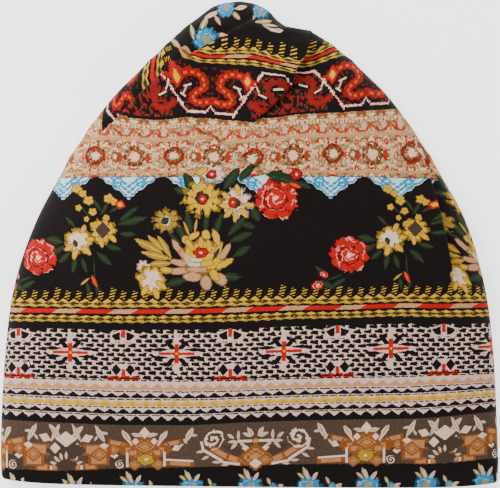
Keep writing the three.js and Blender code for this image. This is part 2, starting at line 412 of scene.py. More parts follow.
# %% The cloth takes its form
is_tip = (row == 0) | (row == ROWS)
placed = np.empty((len(x), 3), np.float32)
placed[:, 0] = np.where(is_tip, cloth_x(TIP["x"]), x + slide_x * on_front)
placed[:, 1] = np.where(is_tip, cloth_y(TIP["y"]) - inset, y + slide_y * on_front)
placed[:, 2] = np.where(is_tip, TIP["height"] - 0.5 * inset, z + lift * on_front)
cloth_mesh.vertices.foreach_set("co", placed.ravel())

corner = np.empty(len(cloth_mesh.loops), np.int32)
cloth_mesh.loops.foreach_get("vertex_index", corner)
face_columns = column[corner].reshape(-1, 4).max(axis=1)
SEAM_COLUMN = FRONT_COLUMNS + BACK_COLUMNS // 2
right_of_seam = np.repeat(face_columns > SEAM_COLUMN, 4)
corner_along = np.where(right_of_seam, along_right[corner], along[corner])
corner_down = down[corner]
MAP_UNIT = 0.01
print_map = cloth_mesh.uv_layers.new(name="print")
print_map.data.foreach_set("uv", (np.stack([corner_along, corner_down], 1) * MAP_UNIT).ravel())
print("corners mapped", len(corner))

# %% [markdown]
# Free motifs, such as flowers and leaves, are charted one by one. To print them sharply
# without an image, each face's corners are told where they lie inside the motif that
# covers them: -1 to 1 along it and across it. The material turns that place into a petal
# edge or a leaf vein at any resolution. Seven such layers lie over each other, so that a
# heart can lie on petals and petals on leaves. The catalogue below holds the kinds of motif,
# each with its shape and its two inks, and charts like it are read by one small helper.

# %% The motif catalogue
KINDS = dict(bloom=0, leaf=1, bar=2, lozenge=3, coil=4)
INKS = dict(
    black=(0.0056, 0.0038, 0.0034), cream=(0.64, 0.44, 0.32), white=(0.58, 0.39, 0.325),
    yellow=(0.55, 0.31, 0.008), gold=(0.30, 0.18, 0.022), red=(0.38, 0.006, 0.004),
    orange=(0.50, 0.070, 0.008), tan=(0.46, 0.215, 0.095), green=(0.015, 0.025, 0.011),
    leaf=(0.026, 0.042, 0.016), blue=(0.007, 0.185, 0.33), sky=(0.20, 0.56, 0.66),
    rust=(0.19, 0.055, 0.013), taupe=(0.046, 0.027, 0.019), brown=(0.068, 0.040, 0.027),
    wine=(0.180, 0.009, 0.007), amber=(0.38, 0.20, 0.014), blush=(0.80, 0.37, 0.30),
    apricot=(0.36, 0.155, 0.055), khaki=(0.27, 0.20, 0.075), ivory=(0.66, 0.44, 0.25),
    frost=(0.50, 0.62, 0.64), crimson=(0.26, 0.006, 0.004),
)
CATALOGUE_CHART = """
name kind petals cut heart ink inner swirl
rose bloom 8 0.16 0.0 red red 0.55
rose_heart bloom 5 0.10 0.22 red blush 1.0
daisy bloom 11 0.55 0.30 yellow gold 0.1
pale_daisy bloom 9 0.55 0.30 cream gold 0.4
small_daisy bloom 9 0.58 0.34 gold cream 0.0
daisy_ground bloom 9 0.40 0.40 yellow taupe 0.2
yellow_petal bloom 0 0 0.01 yellow yellow 0.3
pale_peony bloom 7 0.26 0.66 yellow cream 0.3
tan_petal bloom 0 0 0.01 tan tan 0.4
blossom bloom 5 0.40 0.26 yellow gold 0.0
button bloom 6 0.10 0.24 red blush 0.0
blue_bloom bloom 11 0.26 0.26 blue khaki 0.5
star_bloom bloom 8 0.34 0.30 white orange 0.4
dark_leaf leaf 0 0 0.16 green leaf 0.0
gold_leaf leaf 0 0 0.20 gold yellow 0.0
cream_leaf leaf 0 0 0.20 cream khaki 0.0
khaki_leaf leaf 0 0 0.20 khaki cream 0.0
tan_leaf leaf 0 0 0.25 tan rust 0.0
red_bud leaf 0 0 0.40 red orange 0.0
wine_bead bloom 4 0.3 0.0 wine wine 0.0
cream_bar bar 0 0 0 cream cream 0.0
rust_bar bar 0 0 0.7 rust apricot 0.0
lozenge lozenge 0 0 0.0 cream cream 0.0
rust_lozenge lozenge 0 0 0.76 rust apricot 1.0
amber_oval bloom 0 0 0.18 amber cream 0.0
red_lozenge lozenge 0 0 0.45 red yellow 0.0
taupe_lozenge lozenge 0 0 0.0 taupe taupe 0.0
red_bead bloom 4 0.12 0.0 crimson crimson 0.0
orange_stroke bar 0 0 0.0 orange orange 0.0
red_stroke bar 0 0 0.0 crimson crimson 0.0
lace_rosette bloom 9 0.5 0.50 rust ivory 0.4
coil coil 0 0 0.0 cream cream 0.0
"""
WORDS = ("name", "kind", "ink", "inner")
RAMP_STOPS = 32


def read_chart(text):
    """The rows of a chart as dictionaries, with the names of its first line."""
    lines = [line.split() for line in text.strip().splitlines()]
    names = lines[0]
    rows = [dict(zip(names, line)) for line in lines[1:]]
    for entry in rows:
        entry.update({name: float(entry[name]) for name in names if name not in WORDS})
    return rows


CATALOGUE = read_chart(CATALOGUE_CHART)
CODE = {entry["name"]: number for number, entry in enumerate(CATALOGUE)}
print("catalogue of", len(CATALOGUE), "motifs in", len(INKS), "inks")

# %% [markdown]
# The flowers stand on the wide black band. They were read off the hat one by one: where
# each lies, how long and wide it is from its middle, and how far it is turned. Leaves come
# first, because what is charted later is printed on top. The posies repeat along the cloth.

# %% The posies
POSIES = """
name x y long wide turn
dark_leaf 135 221 15 4 -14
dark_leaf 131 214 12 3 -38
dark_leaf 130 234 9 2.8 2
dark_leaf 107 258 10 3.6 42
dark_leaf 116 247 8 3 15
dark_leaf 87 264 8 2.8 72
dark_leaf 77 264 8 3 102
dark_leaf 67 257 8 3.2 140
dark_leaf 57 240 9 4.4 12
dark_leaf 60 250 8 3.2 150
dark_leaf 73 222 7 2.2 45
dark_leaf 107 209 8 2.2 -62
dark_leaf 100 206 7 2 58
dark_leaf 118 209 7 2 -30
dark_leaf 87 211 9 0.8 48
dark_leaf 97 268 12 0.9 87
dark_leaf 91 287 6 2.8 80
dark_leaf 100 288 5 2.2 100
gold_leaf 88 280 6 1.4 -38
red_bud 97 280 6.5 2.6 66
dark_leaf 26 279 9 1.2 -20
dark_leaf 18 286 9 3.6 24
dark_leaf 12 272 7 2.6 40
dark_leaf 30 284 8 3 -28
rose_heart 15 276 5.4 3.4 30
rose_heart 9 287 6.6 4.8 -10
rose 40.5 256 19 18 10
rose_heart 40 257 11 10 20
pale_peony 81 241 15 14 0
dark_leaf 78 243 4.4 2.6 70
yellow_petal 72 247 6 3 -30
yellow_petal 78 253 6 3 -70
yellow_petal 89 250 6.5 3 40
yellow_petal 93 239 5 2.6 -10
yellow_petal 86 229 5 2.6 -60
daisy_ground 106 231 14 13 0
yellow_petal 97 226 5 2.6 30
yellow_petal 115 238 5.5 2.6 40
yellow_petal 104 242 5.5 2.6 80
taupe_lozenge 105.5 230 6.5 7 0
blossom 78.6 189 5.6 5.4 10
blossom 85 194 4.4 4 30
blossom 91 201 5.6 5 20
blossom 81 208 3.8 3.6 0
blossom 95 212 4.4 4 15
blossom 111 199 5.4 5 0
blossom 116 202 4.4 4 40
blossom 89 219 3.2 3.2 0
blossom 109 218 3.8 3.6 30
blossom 97 225 4.4 4 0
red_lozenge 122.6 205 4.8 4 20
dark_leaf 191 184 12 5.4 62
dark_leaf 183 192 8 4 20
dark_leaf 232 179 14 5.4 -56
dark_leaf 246 174 11 4.4 -48
dark_leaf 276 175 12 4.6 10
dark_leaf 288 182 13 5.6 32
dark_leaf 302 186 9 3.4 22
dark_leaf 255 215 9 4.4 60
dark_leaf 247 226 8 3.6 20
dark_leaf 237 227 13 4 -48
dark_leaf 241 238 12 4.2 -22
dark_leaf 242 252 10 4.2 -30
dark_leaf 232 277 10 4.4 8
dark_leaf 219 224 11 3.6 -72
dark_leaf 207 223 10 3 -86
dark_leaf 183 232 12 4.4 62
dark_leaf 178 281 11 4.4 -12
dark_leaf 190 222 12 3.6 74
dark_leaf 176 238 10 2 45
gold_leaf 188 229 8 1.6 68
gold_leaf 197 226 8 1.6 -82
gold_leaf 151 246 17 4.4 27
gold_leaf 158 255 15 4.2 14
gold_leaf 162 263 12 3.8 -2
gold_leaf 166 246 12 3.8 58
gold_leaf 158 243 11 3.6 44
gold_leaf 170 270 8 3.2 -14
yellow_petal 204 257 23 17 6
tan_petal 182 251 9 3.2 55
tan_petal 178 246 8 3.2 60
tan_petal 180 262 9 3.4 15
tan_petal 181 270 11 3.8 -5
yellow_petal 168 269 6.5 3.2 8
tan_petal 194 276 10 5 6
tan_petal 207 282 8 6 80
tan_petal 221 279 8 5.5 42
yellow_petal 215 275 7 4.2 62
yellow_petal 225 264 10 3.6 -28
tan_petal 226 252 10 3.2 -60
yellow_petal 219 250 9 3.2 -66
yellow_petal 217 238 9 3.6 70
yellow_petal 188 240 5.5 4.4 30
yellow_petal 195 236 7 3.2 -30
yellow_petal 207 235 5.5 4.2 62
yellow_petal 210 246 7 3 80
yellow_petal 202 244 8 2.8 90
yellow_petal 191 245 8 3 62
dark_leaf 217 254 7 1.8 -62
cream_leaf 197 262 11 5 4
cream_leaf 189 258 6 3 40
yellow_petal 208 263 7 3.6 -8
tan_petal 198 269 12 3 2
button 202 252.5 7.4 5.6 0
star_bloom 146 266 8 7 20
pale_peony 153.6 279 16 14 40
yellow_petal 163 284 6.5 3.2 40
yellow_petal 158 292 6 3 70
yellow_petal 147 289 6 3 -60
yellow_petal 143 276 6 3 0
star_bloom 213 173 15 12 10
yellow_petal 203 172 7 3.6 -30
dark_leaf 212 177 6.5 3.4 0
button 212.5 175 5 4.4 0
daisy 203.6 199.5 21 19.5 8
dark_leaf 203 199 7.5 7 90
button 203.5 200 4.6 5 0
pale_daisy 237 204 17 17 12
yellow_petal 226 207 6 3 10
yellow_petal 229 214 6.5 2.8 -42
yellow_petal 236 217 6.5 2.6 -80
yellow_petal 244 214 6.5 2.8 52
yellow_petal 248 206 7 2.6 4
yellow_petal 238 191 6.5 2.8 76
yellow_petal 227 197 6 2.8 38
dark_leaf 235 204 6 5.6 90
button 233 203.5 4.4 5.6 0
small_daisy 168 221 14.5 13 -12
dark_leaf 167 221 4.6 3.6 -30
rose 276 200.5 21.5 20.5 24
rose_heart 275 200 12.5 11.5 0
button 295.5 175.5 6 5.6 0
red_bud 294 186.5 6 3 24
"""
POSY_REPEAT, POSIES_ON_HAT = 307.0, (-2, 4)


def repeated(rows, period, first, last):
    """The same motifs again at every repeat of the cloth."""
    return [dict(entry, x=entry["x"] + period * number)
            for number in range(first, last) for entry in rows]


motifs = repeated(read_chart(POSIES), POSY_REPEAT, *POSIES_ON_HAT)
print("posies hold", len(motifs), "motifs")

# %% [markdown]
# The brown band is woven tapestry work: urns, lotus flowers and thorny scrolls, mirrored
# about two lines. Only one half is charted, and the mirror makes the rest.

# %% The tapestry band
TAPESTRY = """
name x y long wide turn
taupe_lozenge 120 458 9 9 -40
coil 121.5 461.5 4.8 4.4 0
lozenge 116 452.5 3.4 2.6 0
rust_lozenge 115 446.5 7 5 0
rust_bar 92 462.5 7 3.2 0
rust_bar 100.5 456 10.5 5.8 0
rust_bar 98.5 446.3 14.5 5.4 0
rust_lozenge 101 451 8 6 0
lozenge 106 442.6 4 2.4 0
cream_bar 82.5 463 2 2 0
rust_bar 118.5 440 9 2.8 12
rust_bar 173.5 440 9 2.8 -12
rust_bar 127 444.5 6 3.4 38
rust_bar 165.5 444.5 6 3.4 -38
rust_lozenge 146 447 25 13 0
rust_bar 134.5 450 5 3.4 0
rust_bar 158 450 5 3.4 0
rust_lozenge 146 444 12 6.5 0
rust_lozenge 136 462 7.5 5 0
rust_lozenge 159 462 7.5 5 0
rust_bar 147 451.4 9 1.2 0
amber_oval 147 457 9.5 6.4 0
cream_bar 128.6 457 1.2 7.5 0
cream_bar 165.6 456.5 1.2 7.5 0
lozenge 146 429.5 4.4 5 0
cream_leaf 138.5 431.6 6 2.2 12
cream_leaf 153.5 431.6 6 2.2 -12
cream_leaf 128 433 7.6 3 56
cream_leaf 164.5 433 7.6 3 -56
cream_bar 131.5 439.5 3.4 0.9 50
cream_bar 161 439.5 3.4 0.9 -50
lozenge 137 438.2 3 3 0
lozenge 155.5 438.2 3 3 0
rust_bar 181 461.5 14 2.6 4
cream_bar 180 458 14 1 4
lozenge 177.6 445 4.4 2.8 -24
cream_leaf 181.5 443 4 1.3 -40
cream_leaf 190 431.5 9.5 3.2 -62
cream_leaf 194.5 432 3.8 1.5 8
cream_leaf 186 438 3.4 1.3 52
taupe_lozenge 236 451 13 4.4 28
rust_bar 221 452 10.5 3.4 32
rust_bar 235 459 9 3.8 24
rust_bar 214 447.6 3 2.4 0
rust_lozenge 255.5 457 15 11.5 0
rust_lozenge 246 460 8 5 0
lozenge 255.5 463.5 5.4 4 0
cream_bar 203 443.5 4.8 1.3 78
coil 213.5 437.6 11.5 10 140
cream_bar 213.5 454 11.5 1.4 33
cream_bar 231 462.6 9 1.2 10
cream_leaf 201.5 449.5 4.4 1.5 -8
cream_leaf 206 456 4.4 1.5 -28
cream_leaf 217 461 4.8 1.5 4
cream_leaf 226 464 4.4 1.3 -6
cream_bar 246.5 440.4 9 1.3 0
cream_leaf 238.6 434.5 5.4 1.7 90
cream_leaf 233 440.6 5 1.7 0
cream_leaf 234.4 444.6 5 1.9 -48
cream_leaf 242.4 443.5 4 1.7 48
cream_leaf 231 435 4.4 1.8 40
lozenge 245.6 447.6 3 2.6 0
cream_leaf 250.4 431 5.8 2.4 58
cream_leaf 247.4 434 5.4 2 22
amber_oval 255.5 440.4 3.4 3 0
taupe_lozenge 68 447 18 10 0
cream_leaf 79.5 429 8.4 2.8 -45
cream_leaf 78.5 430.5 9.8 2.4 62
cream_bar 74 436.6 5 1 -18
lozenge 68 436.5 8.4 6 0
lozenge 89 435.5 5.4 3.4 -20
lozenge 79 444.8 4.4 4.2 0
cream_leaf 102 431 9.4 3 61
cream_leaf 106.5 430 3.6 1.5 8
cream_leaf 98 435 3.4 1.4 124
rust_bar 79.5 461.6 2.6 4.2 0
rust_bar 68 456.4 9.4 1.3 0
taupe_lozenge 68 460 10.5 5.4 0
cream_leaf 68 451.6 3.6 1.7 90
cream_leaf 73 452.4 3.6 1.6 -68
cream_leaf 77.4 455 3.8 1.6 -42
cream_leaf 81 458.6 3.6 1.4 -14
"""
TAPESTRY_AXIS, TAPESTRY_REPEAT, TAPESTRY_ON_HAT = 68.0, 375.0, (-2, 4)


def with_mirror(rows, axis):
    """The motifs and their mirror images about an upright line."""
    return rows + [dict(entry, x=2 * axis - entry["x"], turn=-entry["turn"]) for entry in rows]


tapestry_rows = with_mirror(read_chart(TAPESTRY), TAPESTRY_AXIS)
motifs += repeated(tapestry_rows, TAPESTRY_REPEAT, *TAPESTRY_ON_HAT)
print("with the tapestry", len(motifs), "motifs")

# %% [markdown]
# Blue flowers with cream leaves run along the black hem and come back at the crown. At
# the hem the fold cuts them in half. The crown's own flowers lie on the turned patch, so
# they are charted where they are seen and carried to its map.

# %% The blue flowers
BLUE_ROW = """
name x y long wide turn
blue_bloom 192 484 13 9.5 0
khaki_leaf 183.6 475.4 4.4 1.8 35
khaki_leaf 188.2 473.4 6 2.4 64
cream_leaf 190.2 474 4.6 1.3 70
cream_leaf 197.6 475.6 4.6 1.9 -52
khaki_leaf 210.4 480 4 1.9 60
blue_bloom 214.6 485 4.4 4 0
cream_leaf 220.7 484 4 1.3 -15
"""
CROWN_FLOWERS = """
name x y long wide turn
cream_leaf 272 28 11 3.6 8
khaki_leaf 264 24 9 2.4 -18
cream_leaf 251 22 9 2.6 -42
blue_bloom 260 13.5 9.5 9 0
"""
TURNED_FLOWERS = """
name x y long wide turn
khaki_leaf 193 34 8 2.6 78
khaki_leaf 204 26 9 3.4 -66
cream_leaf 220 36 5 2.4 -30
tan_leaf 185 52 6 4.6 24
khaki_leaf 176 44 8 2.6 48
khaki_leaf 236 17 6 2.4 42
cream_leaf 212 16 7 2.6 -24
khaki_leaf 218 22 6 2.2 60
cream_leaf 241 9 6 2.4 -12
blue_bloom 206 41 13 11.5 0
blue_bloom 226 10 9.5 9 0
"""
BLUE_REPEAT, BLUE_ON_HAT = 58.3, (-10, 16)


def on_turned_patch(entry):
    """A motif seen on the turned patch: its middle and its tip are both carried over."""
    heading = math.radians(entry["turn"])
    x0, y0 = turned_place(entry["x"], entry["y"])
    x1, y1 = turned_place(entry["x"] + math.cos(heading), entry["y"] + math.sin(heading))
    return dict(entry, x=x0, y=y0, turn=math.degrees(math.atan2(y1 - y0, x1 - x0)),
                long=entry["long"] * TURNED["across"], wide=entry["wide"] * TURNED["across"])


motifs += repeated(read_chart(BLUE_ROW), BLUE_REPEAT, *BLUE_ON_HAT)
motifs += read_chart(CROWN_FLOWERS)
motifs += [on_turned_patch(entry) for entry in read_chart(TURNED_FLOWERS)]
print("with the blue flowers", len(motifs), "motifs")

# %% [markdown]
# The red band holds hooked meanders in mirror pairs, bright ones above the pale line and dark
# ones below it. A meander is charted as the places that it runs through. Beads of wool lie on
# those places, and strokes join them. The lace below holds rosettes and small arched florets.

# %% The hooks and the lace
BRIGHT_SCROLL = """
x y
183 84
190 82
197 82.6
202.4 85.4
205.5 89.7
204.5 94
199 96.6
194.5 99.6
193.6 103.2
198 105.6
204 105.6
213 103.8
"""
DARK_SCROLL = """
x y
251 105
257 108
263 109
269 106.4
271 101
268 96
267 90.5
272 86
279 85.5
"""
HOOKS = """
name x y long wide turn
red_bead 172 87 6 1.2 0
red_bead 173 90 5 1 0
red_lozenge 178.5 87 5 6.4 0
cream_bar 186 96 4 0.7 -60
cream_bar 188.6 92.4 4 0.7 -14
cream_bar 184 99.6 3 0.7 30
cream_bar 257 92 4 0.7 60
cream_bar 262 98 4 0.7 20
cream_bar 276 91 4 0.7 -20
"""
HOOKS_LEFT_AXIS, HOOKS_REPEAT = 213.0, 153.0
HOOKS_ON_HAT, HOOKS_ON_TURNED_PATCH = (-4, 8), (12, 15)
LACE = """
name x y long wide turn
red_bud 5 130 4.4 1.3 70
tan_leaf 15.5 130 5 1.6 -62
cream_leaf 10.2 131 4.6 1.8 90
tan_leaf 27 131 4 1.5 70
tan_leaf 35.5 130 3.6 1.5 -58
tan_leaf 46 130 4.4 1.8 64
cream_leaf 51 131 4.4 2 84
red_bud 55.5 131 4 1.4 -66
tan_leaf 66 130 4.6 1.5 58
cream_leaf 71 130 4 1.8 94
red_bud 75 131 3.6 1.3 -70
red_bead 19.5 156 10.6 9.8 0
lace_rosette 19.5 156 9.4 9 0
lace_rosette 58.5 157 11 10.6 12
lace_rosette 39 157 4.4 6 0
tan_leaf 32 151 4.6 1.8 -34
tan_leaf 46 163 4.6 1.8 -30
tan_leaf 46 150 4.6 1.8 34
tan_leaf 5 162 5 1.8 28
tan_leaf 4 150 5 1.8 -28
cream_leaf 0 156 5 2.6 90
"""
LACE_REPEAT, LACE_ON_HAT = 78.0, (-7, 12)
ROUND_END = 0.7


def beads(name, scroll, long, wide):
    """Beads of wool on the places of a scroll."""
    return [dict(entry, name=name, long=long, wide=wide, turn=0.0) for entry in scroll]


def strokes(name, scroll, wide, share=1.0):
    """Straight strokes from each place of a scroll to the next, or a share of the way."""
    rows = []
    for first, second in zip(scroll, scroll[1:]):
        dx, dy = second["x"] - first["x"], second["y"] - first["y"]
        long = share * math.hypot(dx, dy) / 2 + wide * ROUND_END
        turn = math.degrees(math.atan2(dy, dx))
        rows.append(dict(name=name, x=first["x"] + dx / 2, y=first["y"] + dy / 2,
                         long=long, wide=wide, turn=turn))
    return rows


bright, dark = read_chart(BRIGHT_SCROLL), read_chart(DARK_SCROLL)
hooks = beads("wine_bead", dark, 4.0, 3.4) + strokes("red_stroke", dark[:5], 1.0)
hooks += beads("red_bead", bright, 4.7, 3.3) + strokes("red_stroke", bright, 2.6)
hooks += beads("wine_bead", bright, 1.9, 1.3) + strokes("orange_stroke", bright, 1.0, 0.4)
hooks = with_mirror(hooks + read_chart(HOOKS), HOOKS_LEFT_AXIS)
for run in (HOOKS_ON_HAT, HOOKS_ON_TURNED_PATCH):
    motifs += repeated(hooks, HOOKS_REPEAT, *run)
motifs += repeated(read_chart(LACE), LACE_REPEAT, *LACE_ON_HAT)
print("with hooks and lace", len(motifs), "motifs")

# %% [markdown]
# Each motif is now handed to the faces that it covers. A face keeps a small stack of them,
# in the order of charting, and each place in the stack is one corner attribute of the mesh.
# Its three numbers are the place along and across the motif, and the motif's number. A face
# that spans a jump in the print map gets none, because no motif could lie on it unbroken.

# %% The motifs on the faces
LAYERS = 7
NOWHERE = 9.0
SLACK = 1.5
WIDEST_FACE = 9.0

face_along = corner_along.reshape(-1, 4)
face_down = corner_down.reshape(-1, 4)
middle_along, middle_down = face_along.mean(axis=1), face_down.mean(axis=1)
is_whole = (np.ptp(face_along, axis=1) < WIDEST_FACE) & (np.ptp(face_down, axis=1) < WIDEST_FACE)
stacks = np.zeros((LAYERS, len(face_along), 4, 3), np.float32)
stacks[..., :2] = NOWHERE
stacked = np.zeros(len(face_along), int)
crowded = 0

for motif in motifs:
    reach = math.hypot(motif["long"], motif["wide"]) + SLACK
    near = (np.abs(middle_along - motif["x"]) < reach) & (np.abs(middle_down - motif["y"]) < reach)
    faces = np.flatnonzero(is_whole & near)
    turn = math.radians(motif["turn"])
    dx, dy = face_along[faces] - motif["x"], face_down[faces] - motif["y"]
    p = (dx * math.cos(turn) + dy * math.sin(turn)) / motif["long"]
    q = (dy * math.cos(turn) - dx * math.sin(turn)) / motif["wide"]
    touches = np.abs(p.mean(axis=1)) < 1 + SLACK / motif["long"]
    touches &= np.abs(q.mean(axis=1)) < 1 + SLACK / abs(motif["wide"])
    faces, p, q = faces[touches], p[touches], q[touches]
    full = faces[stacked[faces] >= LAYERS]
    stacks[:-1, full] = stacks[1:, full]
    stacked[full] = LAYERS - 1
    crowded += len(full)
    stacks[stacked[faces], faces, :, 0] = p
    stacks[stacked[faces], faces, :, 1] = q
    stacks[stacked[faces], faces, :, 2] = CODE[motif["name"]]
    stacked[faces] += 1

for number in range(LAYERS):
    layer = cloth_mesh.attributes.new(f"motif_{number}", "FLOAT_VECTOR", "CORNER")
    layer.data.foreach_set("vector", stacks[number].ravel())
print("faces by stack height", np.bincount(stacked).tolist(), "crowded", crowded)

# %% [markdown]
# The wall is closed now: the grid's two long edges lie on each other down the back, and
# its two short ones have shrunk to the crown's points. Merging the doubles sews them up.
# Then the faces are turned outwards together and shaded smoothly, as one piece of cloth.

# %% Sewing up the wall
MERGE_DISTANCE = 1e-5

bm = bmesh.new()
bm.from_mesh(cloth_mesh)
bmesh.ops.remove_doubles(bm, verts=bm.verts, dist=MERGE_DISTANCE)
bmesh.ops.recalc_face_normals(bm, faces=bm.faces)
for face in bm.faces:
    face.smooth = True
open_edges = sum(1 for edge in bm.edges if len(edge.link_faces) != 2)
bm.to_mesh(cloth_mesh)
bm.free()

hat = bpy.data.objects.new("jersey_cloth", cloth_mesh)
bpy.context.collection.objects.link(hat)
print("cloth faces", len(cloth_mesh.polygons), "open edges", open_edges)

# %% [markdown]
# A material of this size is easier to read as arithmetic than as a list of links. So a
# small helper lets a node's output be added, multiplied or compared like a number, and
# each step adds one Math node. Colours are printed one over another, as ink on cloth.

# %% Helpers for node arithmetic
class Value:
    """An output socket of a shader tree that can be reckoned with like a number."""

    def __init__(self, tree, socket):
        self.tree, self.socket = tree, socket

    def math(self, operation, *others, clamp=False):
        node = self.tree.nodes.new("ShaderNodeMath")
        node.operation = operation
        node.use_clamp = clamp
        for entry, value in zip(node.inputs, (self, *others)):
            feed(self.tree, entry, value)
        return Value(self.tree, node.outputs[0])

    def __add__(self, other):
        return self.math("ADD", other)

    def __sub__(self, other):
        return self.math("SUBTRACT", other)

    def __mul__(self, other):
        return self.math("MULTIPLY", other)

    def __truediv__(self, other):
        return self.math("DIVIDE", other)

    def __lt__(self, other):
        return self.math("LESS_THAN", other)

    def __gt__(self, other):
        return self.math("GREATER_THAN", other)

    def __and__(self, other):
        return self.math("MULTIPLY", other)

    def __or__(self, other):
        return self.math("MAXIMUM", other)

    def within(self, first, last):
        return self.math("COMPARE", (first + last) / 2, (last - first) / 2)

    def every(self, period, start=0.0):
        """Counts up through each period of a repeat and starts again at nought."""
        return (self - start).math("FLOORED_MODULO", period)

    def swing(self, period, start=0.0):
        """Distance from the nearest of a row of points one period apart."""
        return (self - start).math("PINGPONG", period / 2)


def feed(tree, entry, value):
    """Link a socket to a Value, or write a plain number or colour into it."""
    if isinstance(value, Value):
        tree.links.new(value.socket, entry)
    elif isinstance(value, tuple):
        entry.default_value = (*value, 1.0)
    else:
        entry.default_value = value


def print_over(below, ink, where):
    """Print one colour over another where the mask says so."""
    tree = where.tree
    node = tree.nodes.new("ShaderNodeMix")
    node.data_type = "RGBA"
    for entry, value in zip((node.inputs[0], node.inputs[6], node.inputs[7]), (where, below, ink)):
        feed(tree, entry, value)
    return Value(tree, node.outputs[2])


def new_group(name, takes, gives):
    """A shader group with named sockets, and the Values of what it takes."""
    tree = bpy.data.node_groups.new(name, "ShaderNodeTree")
    for title, kind in takes:
        tree.interface.new_socket(title, in_out="INPUT", socket_type=kind)
    for title, kind in gives:
        tree.interface.new_socket(title, in_out="OUTPUT", socket_type=kind)
    source = tree.nodes.new("NodeGroupInput")
    sink = tree.nodes.new("NodeGroupOutput")
    return tree, [Value(tree, socket) for socket in source.outputs[:len(takes)]], sink


def place_group(tree, group, *values):
    node = tree.nodes.new("ShaderNodeGroup")
    node.node_tree = group
    for entry, value in zip(node.inputs, values):
        feed(tree, entry, value)
    return [Value(tree, socket) for socket in node.outputs]


print("node helpers ready")

# %% [markdown]
# One group draws every free motif. It could be a group for each motif, but then every one of
# them would be worked out at every point of the cloth. Instead one group reads the motif's
# number, and looks up its kind, petals and two inks in three colour ramps with hard steps.

# %% Looking a motif up
def catalogue_ramp(tree, number, entries):
    """Four values looked up by a motif's number, held in a ramp with hard steps."""
    node = tree.nodes.new("ShaderNodeValToRGB")
    node.color_ramp.interpolation = "CONSTANT"
    elements = node.color_ramp.elements
    elements.remove(elements[-1])
    for position, values in enumerate(entries):
        element = elements[0] if position == 0 else elements.new(position / RAMP_STOPS)
        element.position = position / RAMP_STOPS
        element.color = values
    feed(tree, node.inputs[0], number)
    return Value(tree, node.outputs[0]), Value(tree, node.outputs[1])


def split(colour):
    node = colour.tree.nodes.new("ShaderNodeSeparateXYZ")
    feed(colour.tree, node.inputs[0], colour)
    return [Value(colour.tree, socket) for socket in node.outputs]


KIND_SCALE, PETAL_SCALE = 8.0, 16.0
motif_print, (spot, bend, below), sink = new_group(
    "Printed motif",
    [("Place", "NodeSocketVector"), ("Bend", "NodeSocketVector"), ("Below", "NodeSocketColor")],
    [("Colour", "NodeSocketColor")])
bent = motif_print.nodes.new("ShaderNodeVectorMath")
for entry, value in zip(bent.inputs, (spot, bend)):
    feed(motif_print, entry, value)
p, q, number = split(Value(motif_print, bent.outputs[0]))
number = (number + 0.5) * (1 / RAMP_STOPS)
shape, heart = catalogue_ramp(motif_print, number, [
    (KINDS[entry["kind"]] / KIND_SCALE, entry["petals"] / PETAL_SCALE, entry["cut"], entry["heart"])
    for entry in CATALOGUE])
kind, petals, cut = split(shape)
kind = kind * KIND_SCALE
print("ramps with", RAMP_STOPS, "steps")

# %% [markdown]
# The motif's form is one value that is below 1 inside the shape, so that outlines and hearts
# are only other thresholds of it. Blooms are a wavy circle in polar coordinates, leaves a
# lens, bars a box, lozenges the sum of both places, and coils a line that winds outwards.

# %% The shape of a motif
WOVEN_STEP = 0.19
COIL_TURNS, COIL_THINNESS = 1.7, 4.8

radius = p.math("MULTIPLY", p).math("ADD", q * q).math("SQRT")
turn = q.math("ARCTAN2", p)
lobe = (turn * petals * (PETAL_SCALE / 2)).math("COSINE").math("ABSOLUTE").math("SQRT")
edge = radius / (lobe * cut).math("SUBTRACT", cut).math("ADD", 1.0)

lens = q.math("ABSOLUTE") / (p * p).math("MULTIPLY_ADD", -1.0, 1.0).math("MAXIMUM", 0.001)
woven_p, woven_q, _ = split(spot)
box = woven_p.math("ABSOLUTE").math("MAXIMUM", woven_q.math("ABSOLUTE"))
diamond = woven_p.math("ABSOLUTE").math("SNAP", WOVEN_STEP)
diamond = diamond + woven_q.math("ABSOLUTE").math("SNAP", WOVEN_STEP)
winding = (radius * COIL_TURNS - turn * (1 / (2 * math.pi))).math("PINGPONG", 0.5) * COIL_THINNESS
coil_form = winding.math("MAXIMUM", radius)

form = edge
for order, other in enumerate((lens, box, diamond, coil_form), start=1):
    node = motif_print.nodes.new("ShaderNodeMix")
    for entry, value in ((0, kind > (order - 0.5)), (2, form), (3, other)):
        feed(motif_print, node.inputs[entry], value)
    form = Value(motif_print, node.outputs[0])
covers = form < 1.0
print("shapes of", len(KINDS), "kinds")

# %% [markdown]
# Inside its shape a motif has its main ink and, in its heart, its second one. Thin black
# lines between the petals and round the edge, dark flecks and, on the roses, pale frills
# stand for the embroidery that the real print imitates.

# %% The inks of a motif
LOBE_LINE, OUTLINE = 0.40, 0.82

ink, swirl = catalogue_ramp(motif_print, number, [
    (*INKS[entry["ink"]], entry["swirl"]) for entry in CATALOGUE])
inner, _ = catalogue_ramp(motif_print, number, [(*INKS[entry["inner"]], 1.0) for entry in CATALOGUE])
frill = (radius * 12.0 + turn * 2.0 + (turn * 3.0).math("SINE") * 1.3).math("SINE")
veins = (p * 9.0 + q * 5.0).math("SINE") * (q * 9.0 - p * 4.0).math("SINE")
is_outlined = (kind < 1.5) * (heart > 0.0)
ink = print_over(ink, INKS["black"], (lobe < LOBE_LINE) * (radius > swirl * 0.4 + 0.42) * 0.75)
flecks = (p * 25.0 + q * 9.0).math("SINE") * (q * 23.0 - p * 8.0).math("SINE")
ink = print_over(ink, INKS["black"], (flecks > 0.52) * is_outlined * (swirl < 0.5) * 0.42)
ink = print_over(ink, INKS["blush"], (frill > 0.80) * (veins < 0.18) * (kind < 0.5) * swirl * 0.9)
